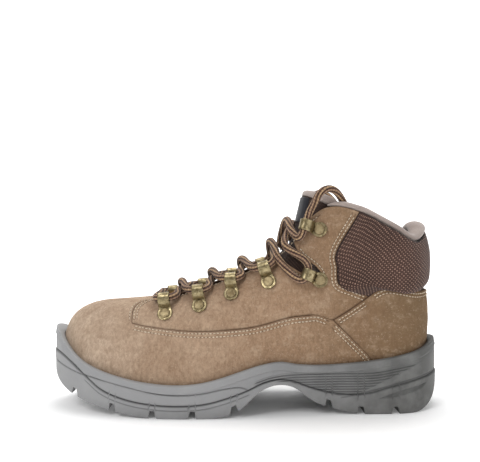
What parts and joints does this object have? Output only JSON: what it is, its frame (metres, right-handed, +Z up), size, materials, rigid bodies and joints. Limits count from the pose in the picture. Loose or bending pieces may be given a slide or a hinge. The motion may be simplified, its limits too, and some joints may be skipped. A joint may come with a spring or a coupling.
{
  "type": "work boot",
  "caption": "Lace-up mid-height suede safety boot for the left foot, with protective toe cap, padded collar, tongue, metal lace loops and moulded sole.",
  "frame": {"origin": "centre of the boot's footprint on the ground", "axes": "+X towards the heel, -X towards the toe; -Y towards the outer (lateral) side; +Z up from the ground"},
  "size_m": [0.301, 0.1053, 0.167],
  "materials": {
    "sole_rubber": "matte moulded polyurethane",
    "sole_foam": "matte moulded polyurethane",
    "board": "pressed fibre",
    "plate_steel": "mill finish",
    "footbed_cloth": "textile faced",
    "cap_steel": "coated steel",
    "edge_rubber": "matte",
    "counter_plastic": "matte",
    "suede": "suede nap",
    "suede_dark": "suede nap",
    "mesh_cloth": "coarse weave",
    "padding": "foam",
    "lining_cloth": "brushed knit",
    "label_rubber": "matte",
    "lace_cord": "round braid",
    "aglet_plastic": "clear film",
    "antique_brass": "antique brass plate"
  },
  "bodies": {
    "boot": {"aglet_lateral": "aglet_plastic", "aglet_medial": "aglet_plastic", "collar_cover": "mesh_cloth", "collar_foam": "padding", "collar_lining": "lining_cloth", "collar_roll": "lining_cloth", "heel_counter": "counter_plastic", "heel_cover": "suede_dark", "insole_board": "board", "lace": "lace_cord", "midsole": "sole_foam", "outsole": "sole_rubber", "puncture_plate": "plate_steel", "quarter_lateral": "suede", "quarter_medial": "suede", "rivets_lateral": "antique_brass", "rivets_medial": "antique_brass", "toe_cap": "cap_steel", "toe_cap_edge_strip": "edge_rubber", "vamp": "suede", "vamp_lining": "lining_cloth"},
    "tongue": {"tongue": "mesh_cloth", "tongue_label": "label_rubber"},
    "footbed": {"footbed": "footbed_cloth"},
    "loop_lateral_1": {"lace_loop_lateral_1": "antique_brass"},
    "loop_lateral_2": {"lace_loop_lateral_2": "antique_brass"},
    "loop_lateral_3": {"lace_loop_lateral_3": "antique_brass"},
    "loop_lateral_4": {"lace_loop_lateral_4": "antique_brass"},
    "loop_lateral_5": {"lace_loop_lateral_5": "antique_brass"},
    "loop_lateral_6": {"lace_loop_lateral_6": "antique_brass"},
    "loop_medial_1": {"lace_loop_medial_1": "antique_brass"},
    "loop_medial_2": {"lace_loop_medial_2": "antique_brass"},
    "loop_medial_3": {"lace_loop_medial_3": "antique_brass"},
    "loop_medial_4": {"lace_loop_medial_4": "antique_brass"},
    "loop_medial_5": {"lace_loop_medial_5": "antique_brass"},
    "loop_medial_6": {"lace_loop_medial_6": "antique_brass"}
  },
  "joints": [
    {"name": "tongue_fold", "type": "hinge", "parent": "boot", "child": "tongue", "pos_m": [-0.066, 0, 0.076], "axis": [0, 1, 0], "range_deg": [0, 5]},
    {"name": "footbed_lift", "type": "hinge", "parent": "boot", "child": "footbed", "pos_m": [-0.1345, 0, 0.0288], "axis": [0, -1, 0], "range_deg": [0, 6]},
    {"name": "loop_lateral_1_swivel", "type": "hinge", "parent": "boot", "child": "loop_lateral_1", "pos_m": [-0.0595, -0.03361, 0.0736], "axis": [-0.1445, -0.8183, 0.5564], "range_deg": [-3, 3]},
    {"name": "loop_lateral_2_swivel", "type": "hinge", "parent": "boot", "child": "loop_lateral_2", "pos_m": [-0.0338, -0.03393, 0.0796], "axis": [-0.146, -0.813, 0.5637], "range_deg": [-3, 3]},
    {"name": "loop_lateral_3_swivel", "type": "hinge", "parent": "boot", "child": "loop_lateral_3", "pos_m": [-0.0098, -0.0328, 0.0884], "axis": [-0.2096, -0.7822, 0.5867], "range_deg": [-3, 3]},
    {"name": "loop_lateral_4_swivel", "type": "hinge", "parent": "boot", "child": "loop_lateral_4", "pos_m": [0.0179, -0.03429, 0.0974], "axis": [-0.2237, -0.873, 0.4334], "range_deg": [-3, 3]},
    {"name": "loop_lateral_5_swivel", "type": "hinge", "parent": "boot", "child": "loop_lateral_5", "pos_m": [0.0559, -0.03625, 0.099], "axis": [0.0499, -0.9943, 0.0943], "range_deg": [-3, 0]},
    {"name": "loop_lateral_6_swivel", "type": "hinge", "parent": "boot", "child": "loop_lateral_6", "pos_m": [0.0564, -0.03035, 0.1364], "axis": [-0.1725, -0.9583, 0.2278], "range_deg": [-3, 3]},
    {"name": "loop_medial_1_swivel", "type": "hinge", "parent": "boot", "child": "loop_medial_1", "pos_m": [-0.0595, 0.03494, 0.0736], "axis": [-0.1201, 0.7999, 0.588], "range_deg": [-3, 3]},
    {"name": "loop_medial_2_swivel", "type": "hinge", "parent": "boot", "child": "loop_medial_2", "pos_m": [-0.0338, 0.03433, 0.0796], "axis": [-0.1149, 0.8204, 0.5601], "range_deg": [-3, 3]},
    {"name": "loop_medial_3_swivel", "type": "hinge", "parent": "boot", "child": "loop_medial_3", "pos_m": [-0.0098, 0.0324, 0.0884], "axis": [-0.1687, 0.8167, 0.5518], "range_deg": [-3, 3]},
    {"name": "loop_medial_4_swivel", "type": "hinge", "parent": "boot", "child": "loop_medial_4", "pos_m": [0.0179, 0.03253, 0.0974], "axis": [-0.1344, 0.9369, 0.3226], "range_deg": [-3, 3]},
    {"name": "loop_medial_5_swivel", "type": "hinge", "parent": "boot", "child": "loop_medial_5", "pos_m": [0.0559, 0.03355, 0.099], "axis": [-0.0078, 0.9993, 0.0378], "range_deg": [0, 3]},
    {"name": "loop_medial_6_swivel", "type": "hinge", "parent": "boot", "child": "loop_medial_6", "pos_m": [0.0564, 0.02989, 0.1364], "axis": [-0.1663, 0.9693, 0.1813], "range_deg": [-3, 3]}
  ]
}
